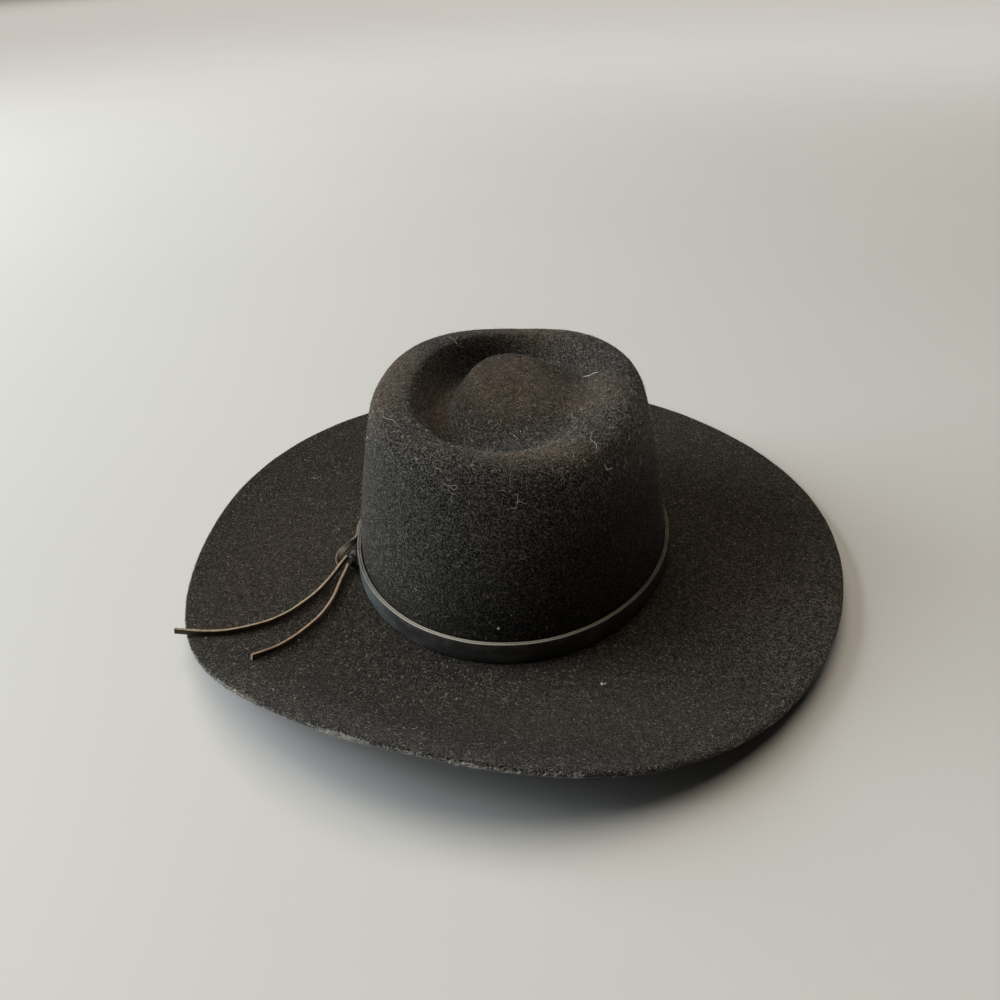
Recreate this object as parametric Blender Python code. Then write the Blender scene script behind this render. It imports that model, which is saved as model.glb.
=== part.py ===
"""A felt cowboy hat with a telescope crease, a leather band and a tied thong.

Metres, +Z up. The hat stands on the flat ring of its brim that surrounds the head opening.
Its front is at +Y, its back at -Y and the wearer's left at -X.
Angles run round the hat from +X through the front (90) to the left (180) and the back (270).
"""

import math

import bpy
import numpy as np
from mathutils import Vector

# Felt
FELT = 0.0026
GAP = 0.0003

# Head opening, measured inside the felt
HEAD_HALF_WIDTH = 0.0832
HEAD_HALF_LENGTH = 0.1024

# Crown
CROWN_HEIGHT = 0.1035
BREAK_RADIUS = 0.0016

# Brim, measured flat from the crown to its edge
BRIM_WIDTH = 0.0943

# Leather band, an open ring whose ends meet behind the knot
BAND_HEIGHT = 0.0116
BAND_THICKNESS = 0.0022
BAND_BEVEL = 0.0006
BAND_LIFT = 0.0006
BAND_SPLIT_ANGLE = 201.0
BAND_SPLIT = 0.0016

# Thong
THONG_WIDTH = 0.0030
THONG_THICKNESS = 0.0014
KNOT_ACROSS = 0.0100
KNOT_THONG = 0.0022
KNOT_DEPTH = 0.0014
KNOT_LIFT = 0.0005
KNOT_STEPS = 39
KNOT_SIDES = 6

# Steps round the hat, and of the tight curve where the crown meets the brim
ROUND_STEPS = 64
BAND_STEPS = 64
BREAK_STEPS = 3

# Corners sharper than these angles are shaded as edges.
FELT_EDGE = 60
KNOT_EDGE = 60
STRIP_EDGE = 35

# Crown wall from the break up to the crest. The height is a share of the crown's height. The
# lean of the left, right, back and front are shares of the head opening's half width, and
# square is how far the row departs from an oval towards a box with round corners.
WALL_SECTIONS = (
    # height, left, right, back, front, square
    (0.080, 0.000, 0.000, 0.000, 0.000, 0.00),
    (0.155, 0.003, 0.003, 0.003, 0.004, 0.00),
    (0.310, 0.016, 0.018, 0.018, 0.030, 0.00),
    (0.460, 0.048, 0.056, 0.054, 0.084, 0.02),
    (0.610, 0.080, 0.094, 0.096, 0.144, 0.06),
    (0.750, 0.114, 0.134, 0.144, 0.206, 0.14),
    (0.870, 0.148, 0.170, 0.190, 0.262, 0.24),
    (0.935, 0.168, 0.200, 0.232, 0.306, 0.32),
    (0.975, 0.192, 0.240, 0.266, 0.350, 0.36),
    (0.994, 0.248, 0.300, 0.306, 0.402, 0.32),
    (1.000, 0.330, 0.360, 0.352, 0.450, 0.26),
    (0.994, 0.400, 0.410, 0.396, 0.480, 0.20),
)

# Crease round the crown's top. The rim is the crest's height and the depth is how far the
# groove lies under it, as shares of the crown's height. The place is where the groove runs,
# as a share of the way from the dome's middle to the crest, and level is how much of the way
# to the groove stays as high as the dome.
CREASE_SECTIONS = (
    # angle, rim, depth, place, level
    (0, 0.990, 0.045, 0.680, 0.150),
    (30, 0.998, 0.085, 0.710, 0.220),
    (60, 1.010, 0.122, 0.770, 0.350),
    (95, 0.994, 0.150, 0.830, 0.520),
    (135, 1.008, 0.190, 0.800, 0.620),
    (180, 1.003, 0.195, 0.755, 0.520),
    (225, 0.980, 0.170, 0.770, 0.260),
    (270, 0.964, 0.115, 0.820, 0.120),
    (305, 0.968, 0.050, 0.800, 0.100),
    (335, 0.982, 0.022, 0.720, 0.100),
)

# The dome inside the crease: its level as a share of the crown's height, and its middle's place
# as shares of the head opening's half width and half length.
DOME_LEVEL = 0.990
DOME_PLACE = (0.060, 0.100)
DOME_ROWS = (0.160, 0.340, 0.480, 0.620, 0.750, 0.880, 1.000)
GROOVE_ROWS = (0.180, 0.360, 0.540, 0.720, 0.880)

# Brim edge round the hat: its rise above the seat as a share of the brim's width.
BRIM_SWEEP = (
    # angle, rise
    (0, 0.099),
    (45, 0.023),
    (90, 0.024),
    (112, 0.009),
    (150, 0.057),
    (168, 0.063),
    (195, 0.032),
    (210, 0.066),
    (225, 0.162),
    (240, 0.294),
    (257, 0.368),
    (272, 0.349),
    (300, 0.172),
    (318, 0.108),
    (340, 0.104),
)
SEAT_SHARE = 0.13
BRIM_ROWS = (0.050, 0.130, 0.240, 0.360, 0.480, 0.600, 0.720, 0.840, 0.940, 1.000)
BRIM_CURVE_POWER = 1.55
EDGE_BULGE_SHARE = 0.03
SEAT_FLATNESS = 0.00005

# Route of the loop that stands out from the band round the knot, along its middle line. This
# route and the tails' routes are measured from the knot's middle.
LOOP_ROUTE = (
    (-0.0042, 0.0322, 0.0031),
    (-0.0038, 0.0252, 0.0029),
    (-0.0026, 0.0179, 0.0023),
    (-0.0035, 0.0129, 0.0022),
    (-0.0056, 0.0084, 0.0019),
    (-0.0076, 0.0042, 0.0011),
    (-0.0084, -0.0001, -0.0003),
    (-0.0081, -0.0031, -0.0017),
)

# Routes of the two tails, along their middle line
LONG_TAIL_ROUTE = (
    (-0.0036, 0.0003, 0.0007),
    (-0.0061, -0.0051, -0.0010),
    (-0.0085, -0.0131, -0.0029),
    (-0.0108, -0.0216, -0.0032),
    (-0.0134, -0.0304, -0.0028),
    (-0.0166, -0.0386, -0.0022),
    (-0.0200, -0.0469, -0.0012),
    (-0.0243, -0.0536, -0.0001),
    (-0.0284, -0.0589, 0.0010),
    (-0.0333, -0.0634, 0.0022),
    (-0.0390, -0.0685, 0.0038),
    (-0.0453, -0.0719, 0.0050),
    (-0.0518, -0.0741, 0.0061),
    (-0.0589, -0.0755, 0.0070),
    (-0.0667, -0.0767, 0.0082),
)
SHORT_TAIL_ROUTE = (
    (-0.0021, -0.0035, -0.0019),
    (-0.0025, -0.0093, -0.0029),
    (-0.0027, -0.0168, -0.0031),
    (-0.0024, -0.0265, -0.0033),
    (-0.0027, -0.0383, -0.0029),
    (-0.0041, -0.0475, -0.0023),
    (-0.0065, -0.0557, -0.0012),
    (-0.0092, -0.0649, 0.0004),
    (-0.0121, -0.0726, 0.0023),
    (-0.0156, -0.0802, 0.0046),
    (-0.0190, -0.0861, 0.0068),
    (-0.0218, -0.0906, 0.0085),
)

# Spacing of the points along the tails, as a share of their width, and the number of fine
# steps between two points of a route
TAIL_STEP = 2.5
ROUTE_STEPS = 24


def clear_scene():
    for obj in list(bpy.data.objects):
        bpy.data.objects.remove(obj, do_unlink=True)


def material(name, colour, roughness):
    mat = bpy.data.materials.new(name)
    mat.use_nodes = True
    shader = mat.node_tree.nodes["Principled BSDF"]
    shader.inputs["Base Color"].default_value = (*colour, 1.0)
    shader.inputs["Roughness"].default_value = roughness
    shader.inputs["Metallic"].default_value = 0.0
    mat.diffuse_color = (*colour, 1.0)
    return mat


def add_mesh(name, points, faces, mat, sharp_angle):
    mesh = bpy.data.meshes.new(name)
    mesh.from_pydata([tuple(p) for p in points], [], [tuple(f) for f in faces])
    mesh.validate()
    mesh.materials.append(mat)
    mesh.shade_smooth()
    mesh.set_sharp_from_angle(angle=math.radians(sharp_angle))
    obj = bpy.data.objects.new(name, mesh)
    bpy.context.scene.collection.objects.link(obj)
    return obj


def smooth(x):
    x = np.clip(x, 0.0, 1.0)
    return x * x * (3.0 - 2.0 * x)


def round_table(rows, angles):
    """Reads a table whose first column is an angle, by a smooth closed curve through its rows."""
    rows = np.array(rows, float)
    keys = np.radians(rows[:, 0])
    values = rows[:, 1:]
    count = len(keys)
    wrapped = np.mod(angles - keys[0], 2 * math.pi) + keys[0]
    low = np.clip(np.searchsorted(keys, wrapped, side="right") - 1, 0, count - 1)
    full = 2 * math.pi

    def key(i):
        return keys[i % count] + full * (i // count)

    out = np.empty((len(wrapped), values.shape[1]))
    for n, (i, angle) in enumerate(zip(low, wrapped)):
        span = key(i + 1) - key(i)
        u = (angle - key(i)) / span
        first, last = values[i % count], values[(i + 1) % count]
        before, after = values[(i - 1) % count], values[(i + 2) % count]
        slope_0 = (last - before) / (key(i + 1) - key(i - 1)) * span
        slope_1 = (after - first) / (key(i + 2) - key(i)) * span
        out[n] = (
            (2 * u**3 - 3 * u**2 + 1) * first
            + (u**3 - 2 * u**2 + u) * slope_0
            + (3 * u**2 - 2 * u**3) * last
            + (u**3 - u**2) * slope_1
        )
    return out


class Hat:
    """The felt's outer surface, as rows of points that run round the hat."""

    def __init__(self, steps):
        self.angles = np.arange(steps) * 2 * math.pi / steps
        self.cos = np.cos(self.angles)
        self.sin = np.sin(self.angles)
        self.half_width = HEAD_HALF_WIDTH + FELT
        self.half_length = HEAD_HALF_LENGTH + FELT
        normal = np.stack([self.cos / self.half_width, self.sin / self.half_length], -1)
        self.normal = normal / np.linalg.norm(normal, axis=1, keepdims=True)
        self.crease = round_table(CREASE_SECTIONS, self.angles)
        self.rise = round_table(BRIM_SWEEP, self.angles)[:, 0] * BRIM_WIDTH

    def wall_row(self, height, left, right, back, front, square):
        """One row of the crown's wall, or of its shoulder."""
        lean_x = np.where(self.cos < 0, left, right) * HEAD_HALF_WIDTH
        lean_y = np.where(self.sin < 0, back, front) * HEAD_HALF_WIDTH
        power = 2 + square
        corner = (np.abs(self.cos) ** power + np.abs(self.sin) ** power) ** (-1 / power)
        x = (self.half_width - lean_x) * self.cos * corner
        y = (self.half_length - lean_y) * self.sin * corner
        z = CROWN_HEIGHT * height * (1 + (self.crease[:, 0] - 1) * height**3)
        return np.stack([x, y, z], -1)

    def base(self, out, height):
        """The base oval grown outwards by out, at a height."""
        x = self.half_width * self.cos + out * self.normal[:, 0]
        y = self.half_length * self.sin + out * self.normal[:, 1]
        return np.stack([x, y, height + np.zeros_like(x)], -1)

    def break_rows(self):
        """The tight curve where the crown meets the brim."""
        rows = []
        for step in range(BREAK_STEPS + 1):
            turn = step * math.pi / 2 / BREAK_STEPS
            out = BREAK_RADIUS * (1 - math.cos(turn))
            drop = BREAK_RADIUS * (1 - math.sin(turn))
            rows.append(self.base(out, FELT + drop))
        return rows

    def brim_rows(self):
        """The brim: a flat seat, then a sweep up to the edge."""
        rows = []
        reach = np.sqrt(BRIM_WIDTH**2 - self.rise**2) - BREAK_RADIUS
        for share in BRIM_ROWS:
            lift = max(0.0, (share - SEAT_SHARE) / (1 - SEAT_SHARE)) ** BRIM_CURVE_POWER
            rows.append(self.base(BREAK_RADIUS + reach * share, FELT + self.rise * lift))
        return rows

    def top_rows(self):
        """The crease and the dome, from the dome's middle out to the crest."""
        crest = self.wall_row(*WALL_SECTIONS[-1])
        middle = np.array(
            [DOME_PLACE[0] * HEAD_HALF_WIDTH, DOME_PLACE[1] * HEAD_HALF_LENGTH, 0.0]
        )
        place = self.crease[:, 2]
        level = self.crease[:, 3]
        depth = self.crease[:, 1] * CROWN_HEIGHT
        floor = crest[:, 2] - depth
        dome = DOME_LEVEL * CROWN_HEIGHT
        rows = []
        for share in DOME_ROWS:
            row = middle + (crest - middle) * (place * share)[:, None]
            fall = smooth((share - level) / (1 - level))
            row[:, 2] = dome + (floor - dome) * fall
            rows.append(row)
        for share in GROOVE_ROWS:
            way = place + (1 - place) * share
            row = middle + (crest - middle) * way[:, None]
            row[:, 2] = floor + depth * smooth(share)
            rows.append(row)
        centre = np.array([middle[0], middle[1], dome])
        return centre, rows

    def rows(self):
        """(the dome's middle point, all rows from the dome out to the brim's edge)"""
        centre, rows = self.top_rows()
        rows += [self.wall_row(*section) for section in reversed(WALL_SECTIONS)]
        rows += self.break_rows()
        rows += self.brim_rows()
        return centre, np.array(rows)


def row_normals(centre, rows):
    """Unit normals of the outer surface, pointing out of the felt."""
    inner = np.concatenate([np.broadcast_to(centre, rows[:1].shape), rows[:-1]])
    outer = np.concatenate([rows[1:], 2 * rows[-1:] - rows[-2:-1]])
    down = outer - inner
    along = np.roll(rows, -1, axis=1) - np.roll(rows, 1, axis=1)
    normal = np.cross(down, along)
    return normal / np.linalg.norm(normal, axis=2, keepdims=True)


def felt_rings():
    """(the dome's upper and lower middle points, rings over the felt's outside and its inside)"""
    centre, rows = Hat(ROUND_STEPS).rows()
    under = rows - row_normals(centre, rows) * FELT
    # The seat round the head opening is made quite flat.
    under[:, :, 2][under[:, :, 2] < SEAT_FLATNESS] = 0.0
    edge = (rows[-1] + under[-1]) / 2 + (rows[-1] - rows[-2]) * EDGE_BULGE_SHARE
    rings = np.array([*rows, edge, *under[::-1]])
    # The origin goes under the middle of the felt. That is a little behind the middle of the
    # head opening's oval, because the back of the brim is turned up.
    middle = (rings.min(axis=(0, 1)) + rings.max(axis=(0, 1))) / 2
    middle[2] = 0.0
    below = centre - np.array([0.0, 0.0, FELT])
    return middle, centre - middle, below - middle, rings - middle


MIDDLE, DOME_TOP, DOME_UNDER, FELT_RINGS = felt_rings()


def make_felt_body(mat):
    points = [DOME_TOP] + [p for ring in FELT_RINGS for p in ring] + [DOME_UNDER]
    steps = ROUND_STEPS
    faces = []
    for i in range(steps):
        faces.append((0, 1 + i, 1 + (i + 1) % steps))
    for r in range(len(FELT_RINGS) - 1):
        start, after = 1 + r * steps, 1 + (r + 1) * steps
        for i in range(steps):
            j = (i + 1) % steps
            faces.append((start + i, after + i, after + j, start + j))
    last = 1 + (len(FELT_RINGS) - 1) * steps
    for i in range(steps):
        faces.append((len(points) - 1, last + (i + 1) % steps, last + i))
    return add_mesh("felt_body", points, faces, mat, FELT_EDGE)


def oval_point(angle, out, height):
    """A point at an angle, out from the felt's base oval, with the way out and the way along."""
    width = HEAD_HALF_WIDTH + FELT
    length = HEAD_HALF_LENGTH + FELT
    turn = math.radians(angle)
    away = Vector((math.cos(turn) / width, math.sin(turn) / length, 0)).normalized()
    along = Vector((-away.y, away.x, 0))
    at = Vector((width * math.cos(turn), length * math.sin(turn), height)) + away * out
    return at - Vector(MIDDLE), away, along


def closed_tube(rings):
    """Faces of rings of points joined end to end, with a cap at either end."""
    points = [p for ring in rings for p in ring]
    sides = len(rings[0])
    faces = []
    for r in range(len(rings) - 1):
        for i in range(sides):
            j = (i + 1) % sides
            faces.append((r * sides + i, r * sides + j, (r + 1) * sides + j, (r + 1) * sides + i))
    last = (len(rings) - 1) * sides
    faces.append(tuple(reversed(range(sides))))
    faces.append(tuple(last + i for i in range(sides)))
    return points, faces


def make_hat_band(mat):
    """A leather strip bent round the crown, with its two ends a small gap apart."""
    inner = GAP
    outer = GAP + BAND_THICKNESS
    low = FELT + BAND_LIFT
    high = low + BAND_HEIGHT
    bevel = BAND_BEVEL
    profile = (
        (inner, high - bevel / 2),
        (inner + bevel / 2, high),
        (outer - bevel, high),
        (outer, high - bevel),
        (outer, low + bevel),
        (outer - bevel, low),
        (inner + bevel, low),
        (inner, low + bevel + GAP),
    )
    half_gap = math.degrees(BAND_SPLIT / 2 / (HEAD_HALF_LENGTH + FELT))
    first = BAND_SPLIT_ANGLE + half_gap
    span = 360 - 2 * half_gap
    rings = []
    for step in range(BAND_STEPS + 1):
        angle = first + span * step / BAND_STEPS
        rings.append([oval_point(angle, out, height)[0] for out, height in profile])
    points, faces = closed_tube(rings)
    return add_mesh("hat_band", points, faces, mat, STRIP_EDGE)


def knot_middle():
    reach = GAP + BAND_THICKNESS + GAP + KNOT_DEPTH + KNOT_THONG / 2
    height = FELT + KNOT_LIFT + KNOT_ACROSS / 2
    return oval_point(BAND_SPLIT_ANGLE, reach, height)


def make_tie_knot(mat):
    """An overhand knot pulled up against the band: a thong along a closed three-lobed path."""
    at, away, along = knot_middle()
    unit = (KNOT_ACROSS - KNOT_THONG) / 6
    up = Vector((0, 0, 1))
    path = []
    for step in range(KNOT_STEPS):
        s = 2 * math.pi * step / KNOT_STEPS
        side = math.sin(s) + 2 * math.sin(2 * s)
        rise = math.cos(s) - 2 * math.cos(2 * s)
        path.append(at + along * side * unit + up * rise * unit - away * math.sin(3 * s) * KNOT_DEPTH)
    points, faces = [], []
    for step in range(KNOT_STEPS):
        ahead = (path[(step + 1) % KNOT_STEPS] - path[step - 1]).normalized()
        side = ahead.cross(away).normalized()
        other = side.cross(ahead)
        for k in range(KNOT_SIDES):
            turn = 2 * math.pi * k / KNOT_SIDES
            spoke = side * math.cos(turn) + other * math.sin(turn)
            points.append(path[step] + spoke * KNOT_THONG / 2)
    for step in range(KNOT_STEPS):
        after = (step + 1) % KNOT_STEPS
        for k in range(KNOT_SIDES):
            j = (k + 1) % KNOT_SIDES
            faces.append(
                (
                    step * KNOT_SIDES + k,
                    after * KNOT_SIDES + k,
                    after * KNOT_SIDES + j,
                    step * KNOT_SIDES + j,
                )
            )
    return add_mesh("tie_knot", points, faces, mat, KNOT_EDGE)


def smooth_route(route, spacing):
    """Evenly spaced points of a smooth curve through a route that starts from the knot."""
    knot = knot_middle()[0]
    points = [knot + Vector(p) for p in route]
    ends = [2 * points[0] - points[1]] + points + [2 * points[-1] - points[-2]]
    fine = []
    for i in range(1, len(ends) - 2):
        before, first, last, after = ends[i - 1], ends[i], ends[i + 1], ends[i + 2]
        for step in range(ROUTE_STEPS):
            u = step / ROUTE_STEPS
            fine.append(
                0.5
                * (
                    2 * first
                    + (last - before) * u
                    + (2 * before - 5 * first + 4 * last - after) * u**2
                    + (3 * first - before - 3 * last + after) * u**3
                )
            )
    fine.append(points[-1])
    lengths = [0.0]
    for here, there in zip(fine, fine[1:]):
        lengths.append(lengths[-1] + (there - here).length)
    count = max(3, round(lengths[-1] / spacing) + 1)
    wanted = np.linspace(0.0, lengths[-1], count)
    table = np.array([tuple(p) for p in fine])
    read = [np.interp(wanted, lengths, table[:, axis]) for axis in range(3)]
    return [Vector(p) for p in zip(*read)]


def make_tie_loop(mat):
    """A thong on edge that stands out from the band and passes round the knot."""
    path = smooth_route(LOOP_ROUTE, THONG_WIDTH / 2)
    up = Vector((0, 0, 1))
    tall, thick = THONG_WIDTH / 2, THONG_THICKNESS / 2
    soft = THONG_THICKNESS / 5
    section = (
        (-thick, tall - soft),
        (-thick + soft, tall),
        (thick - soft, tall),
        (thick, tall - soft),
        (thick, -tall + soft),
        (thick - soft, -tall),
        (-thick + soft, -tall),
        (-thick, -tall + soft),
    )
    rings = []
    for step, at in enumerate(path):
        ahead = (path[min(step + 1, len(path) - 1)] - path[max(step - 1, 0)]).normalized()
        side = ahead.cross(up).normalized()
        over = side.cross(ahead)
        rings.append([at + side * a + over * b for a, b in section])
    points, faces = closed_tube(rings)
    return add_mesh("tie_loop", points, faces, mat, STRIP_EDGE)


def make_tail(name, route, mat):
    """One free end of the thong, lying on the brim."""
    curve = bpy.data.curves.new(name, "CURVE")
    curve.dimensions = "3D"
    curve.bevel_depth = THONG_WIDTH / 2
    curve.bevel_resolution = 2
    curve.use_fill_caps = True
    path = smooth_route(route, THONG_WIDTH * TAIL_STEP)
    spline = curve.splines.new("POLY")
    spline.points.add(len(path) - 1)
    for point, at in zip(spline.points, path):
        point.co = (*at, 1.0)
    spline.use_smooth = True
    curve.materials.append(mat)
    obj = bpy.data.objects.new(name, curve)
    bpy.context.scene.collection.objects.link(obj)
    return obj


def main():
    clear_scene()
    felt = material("felt", (0.030, 0.027, 0.025), 0.95)
    band_leather = material("band_leather", (0.020, 0.020, 0.022), 0.55)
    thong_leather = material("thong_leather", (0.110, 0.090, 0.075), 0.75)
    make_felt_body(felt)
    make_hat_band(band_leather)
    make_tie_knot(thong_leather)
    make_tie_loop(thong_leather)
    make_tail("long_tail", LONG_TAIL_ROUTE, thong_leather)
    make_tail("short_tail", SHORT_TAIL_ROUTE, thong_leather)


main()
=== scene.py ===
"""The look of a black felt cowboy hat with a leather band and a tied thong, on a pale floor."""

import math

import bmesh
import bpy
import numpy as np
from mathutils import Matrix, Vector, noise
from mathutils.bvhtree import BVHTree


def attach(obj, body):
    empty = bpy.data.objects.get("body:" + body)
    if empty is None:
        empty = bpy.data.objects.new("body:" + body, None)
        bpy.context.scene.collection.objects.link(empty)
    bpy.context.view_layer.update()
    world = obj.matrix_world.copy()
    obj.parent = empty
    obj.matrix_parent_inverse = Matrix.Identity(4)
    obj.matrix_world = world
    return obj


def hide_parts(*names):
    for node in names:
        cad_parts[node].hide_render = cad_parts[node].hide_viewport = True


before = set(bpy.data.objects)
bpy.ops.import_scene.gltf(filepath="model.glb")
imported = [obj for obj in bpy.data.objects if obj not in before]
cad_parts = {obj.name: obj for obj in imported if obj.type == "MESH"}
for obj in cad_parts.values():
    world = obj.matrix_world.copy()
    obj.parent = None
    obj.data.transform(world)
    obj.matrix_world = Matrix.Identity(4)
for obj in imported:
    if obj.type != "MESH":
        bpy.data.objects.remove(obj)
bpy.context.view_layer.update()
RNG = np.random.default_rng(7)
SCENE = bpy.context.scene

# Camera: place in metres, turn in degrees, lens and sensor in millimetres
CAMERA_PLACE = (0.0548, -0.40625, 0.2901)
CAMERA_TURN = (8.79, 57.21, -1.65)
CAMERA_LENS = 30.6
CAMERA_SENSOR = 36

# Felt, in metres: its thickness, and the half sizes and the middle of the oval at the crown's foot
FELT = 0.0026
HALF_WIDTH = 0.0858
HALF_LENGTH = 0.1050
MIDDLE = (0.00009, -0.00248)

# Band, in metres: its gap to the felt, and where its two ends meet, in degrees, with the gap between them
BAND_GAP = 0.0003
BAND_THICK = 0.0022
BAND_LOW = 0.0032
BAND_HIGH = 0.0148
BAND_SPLIT_ANGLE = 201.0
BAND_SPLIT = 0.0004
BAND_STEPS = 360

# Thong and knot, in metres. The knot's thong is thinner here than in the CAD, where it is round.
THONG_TALL = 0.0030
THONG_THICK = 0.0014
THONG_CORNER = 0.0003
KNOT_GAP = 0.0003
KNOT_ACROSS = 0.0100
KNOT_THONG = 0.0022
KNOT_DEPTH = 0.0014
KNOT_LIFT = 0.0005
KNOT_STRIP = (0.0026, 0.0012)
KNOT_STEPS = 150

# Edges sharper than this stay sharp in the shading of leather, in degrees
LEATHER_EDGE = 50

# Fine steps between two points of a route
ROUTE_STEPS = 24

# Routes of the loop and the two tails, along their middle line
LOOP_ROUTE = (
    (-0.0893, -0.0095, 0.0112),
    (-0.0889, -0.0165, 0.0110),
    (-0.0877, -0.0238, 0.0104),
    (-0.0886, -0.0288, 0.0103),
    (-0.0902, -0.0332, 0.0107),
    (-0.0917, -0.0370, 0.0109),
    (-0.0925, -0.0402, 0.0108),
    (-0.0929, -0.0430, 0.0096),
    (-0.0925, -0.0452, 0.0074),
    (-0.0910, -0.0463, 0.0054),
    (-0.0892, -0.0462, 0.0044),
)
LONG_TAIL_ROUTE = (
    (-0.0887, -0.0414, 0.0088),
    (-0.0912, -0.0468, 0.0071),
    (-0.0936, -0.0548, 0.0052),
    (-0.0959, -0.0633, 0.0049),
    (-0.0985, -0.0721, 0.0053),
    (-0.1017, -0.0803, 0.0059),
    (-0.1051, -0.0886, 0.0069),
    (-0.1094, -0.0953, 0.0080),
    (-0.1135, -0.1006, 0.0091),
    (-0.1184, -0.1051, 0.0103),
    (-0.1241, -0.1102, 0.0119),
    (-0.1304, -0.1136, 0.0131),
    (-0.1369, -0.1158, 0.0142),
    (-0.1440, -0.1172, 0.0151),
    (-0.1518, -0.1184, 0.0163),
)
SHORT_TAIL_ROUTE = (
    (-0.0872, -0.0452, 0.0062),
    (-0.0876, -0.0510, 0.0052),
    (-0.0878, -0.0585, 0.0050),
    (-0.0875, -0.0682, 0.0048),
    (-0.0878, -0.0800, 0.0052),
    (-0.0892, -0.0892, 0.0058),
    (-0.0916, -0.0974, 0.0069),
    (-0.0943, -0.1066, 0.0085),
    (-0.0972, -0.1143, 0.0104),
    (-0.1007, -0.1219, 0.0127),
    (-0.1041, -0.1278, 0.0149),
    (-0.1069, -0.1323, 0.0166),
)


# Camera


def place_camera():
    turn = (
        Matrix.Rotation(math.radians(CAMERA_TURN[0]), 4, "Z")
        @ Matrix.Rotation(math.radians(CAMERA_TURN[1]), 4, "X")
        @ Matrix.Rotation(math.radians(CAMERA_TURN[2]), 4, "Z")
    )
    data = bpy.data.cameras.new("camera")
    data.sensor_width = CAMERA_SENSOR
    data.lens = CAMERA_LENS
    data.clip_start = 0.01
    data.dof.use_dof = False
    camera = bpy.data.objects.new("camera", data)
    SCENE.collection.objects.link(camera)
    camera.matrix_world = Matrix.Translation(CAMERA_PLACE) @ turn
    SCENE.camera = camera


# Meshes


def new_object(name, points, faces, mats, marks=None, smooth=True):
    mesh = bpy.data.meshes.new(name)
    mesh.from_pydata([tuple(p) for p in points], [], [tuple(f) for f in faces])
    for mat in mats:
        mesh.materials.append(mat)
    if marks is not None:
        mesh.polygons.foreach_set("material_index", np.array(marks, dtype=np.int32))
    if smooth:
        mesh.shade_smooth()
    obj = bpy.data.objects.new(name, mesh)
    SCENE.collection.objects.link(obj)
    return obj


def smooth_route(route, spacing):
    """Evenly spaced points of a smooth curve through a route's points, as an array."""
    points = [Vector(p) for p in route]
    ends = [2 * points[0] - points[1]] + points + [2 * points[-1] - points[-2]]
    fine = []
    for i in range(1, len(ends) - 2):
        before, first, last, after = ends[i - 1], ends[i], ends[i + 1], ends[i + 2]
        for step in range(ROUTE_STEPS):
            u = step / ROUTE_STEPS
            fine.append(
                0.5
                * (
                    2 * first
                    + (last - before) * u
                    + (2 * before - 5 * first + 4 * last - after) * u**2
                    + (3 * first - before - 3 * last + after) * u**3
                )
            )
    fine.append(points[-1])
    fine = np.array([tuple(p) for p in fine])
    lengths = np.concatenate([[0], np.cumsum(np.linalg.norm(np.diff(fine, axis=0), axis=1))])
    wanted = np.linspace(0, lengths[-1], max(3, round(lengths[-1] / spacing) + 1))
    return np.stack([np.interp(wanted, lengths, fine[:, k]) for k in range(3)], -1)


def unit(v):
    return v / np.maximum(np.linalg.norm(v, axis=-1, keepdims=True), 1e-12)


def reach(x, y):
    """How far out a point lies, where 1 is the oval at the crown's foot."""
    return np.hypot((x - MIDDLE[0]) / HALF_WIDTH, (y - MIDDLE[1]) / HALF_LENGTH)


def foot_point(turn):
    """A point of the oval at the crown's foot, and the way straight out from it."""
    x = HALF_WIDTH * math.cos(turn) + MIDDLE[0]
    y = HALF_LENGTH * math.sin(turn) + MIDDLE[1]
    out = np.array([math.cos(turn) / HALF_WIDTH, math.sin(turn) / HALF_LENGTH, 0.0])
    return np.array([x, y, 0.0]), unit(out)


def soft_box(half_wide, half_tall, corner, steps=3):
    """Points round a box section with round corners, anticlockwise from its upper right corner."""
    points = []
    for sx, sy, first in ((1, 1, 0), (-1, 1, 90), (-1, -1, 180), (1, -1, 270)):
        for k in range(steps + 1):
            turn = math.radians(first + 90 * k / steps)
            x = sx * (half_wide - corner) + corner * math.cos(turn)
            y = sy * (half_tall - corner) + corner * math.sin(turn)
            points.append((x, y))
    return np.array(points)


def sweep(name, path, section, mats, face_mark, up=(0, 0, 1), roll=None, closed=False):
    """A section carried along a path. Its first coordinate goes to the side, its second up."""
    count = len(path)
    if closed:
        ahead = unit(np.roll(path, -1, axis=0) - np.roll(path, 1, axis=0))
    else:
        ahead = unit(np.gradient(path, axis=0))
    ups = np.broadcast_to(np.array(up, float), path.shape)
    side = unit(np.cross(ahead, ups))
    over = np.cross(side, ahead)
    if roll is not None:
        turn = np.radians(roll)[:, None]
        side, over = (
            side * np.cos(turn) + over * np.sin(turn),
            over * np.cos(turn) - side * np.sin(turn),
        )
    rings = path[:, None] + side[:, None] * section[:, :1] + over[:, None] * section[:, 1:]
    sides = len(section)
    faces, marks = [], []
    for r in range(count if closed else count - 1):
        after = (r + 1) % count
        for i in range(sides):
            j = (i + 1) % sides
            faces.append((r * sides + j, r * sides + i, after * sides + i, after * sides + j))
            marks.append(face_mark[i])
    if not closed:
        last = (count - 1) * sides
        faces.append(tuple(range(sides)))
        faces.append(tuple(reversed(range(last, last + sides))))
        marks += [1, 1]
    return new_object(name, rings.reshape(-1, 3), faces, mats, marks)


# Materials


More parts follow.
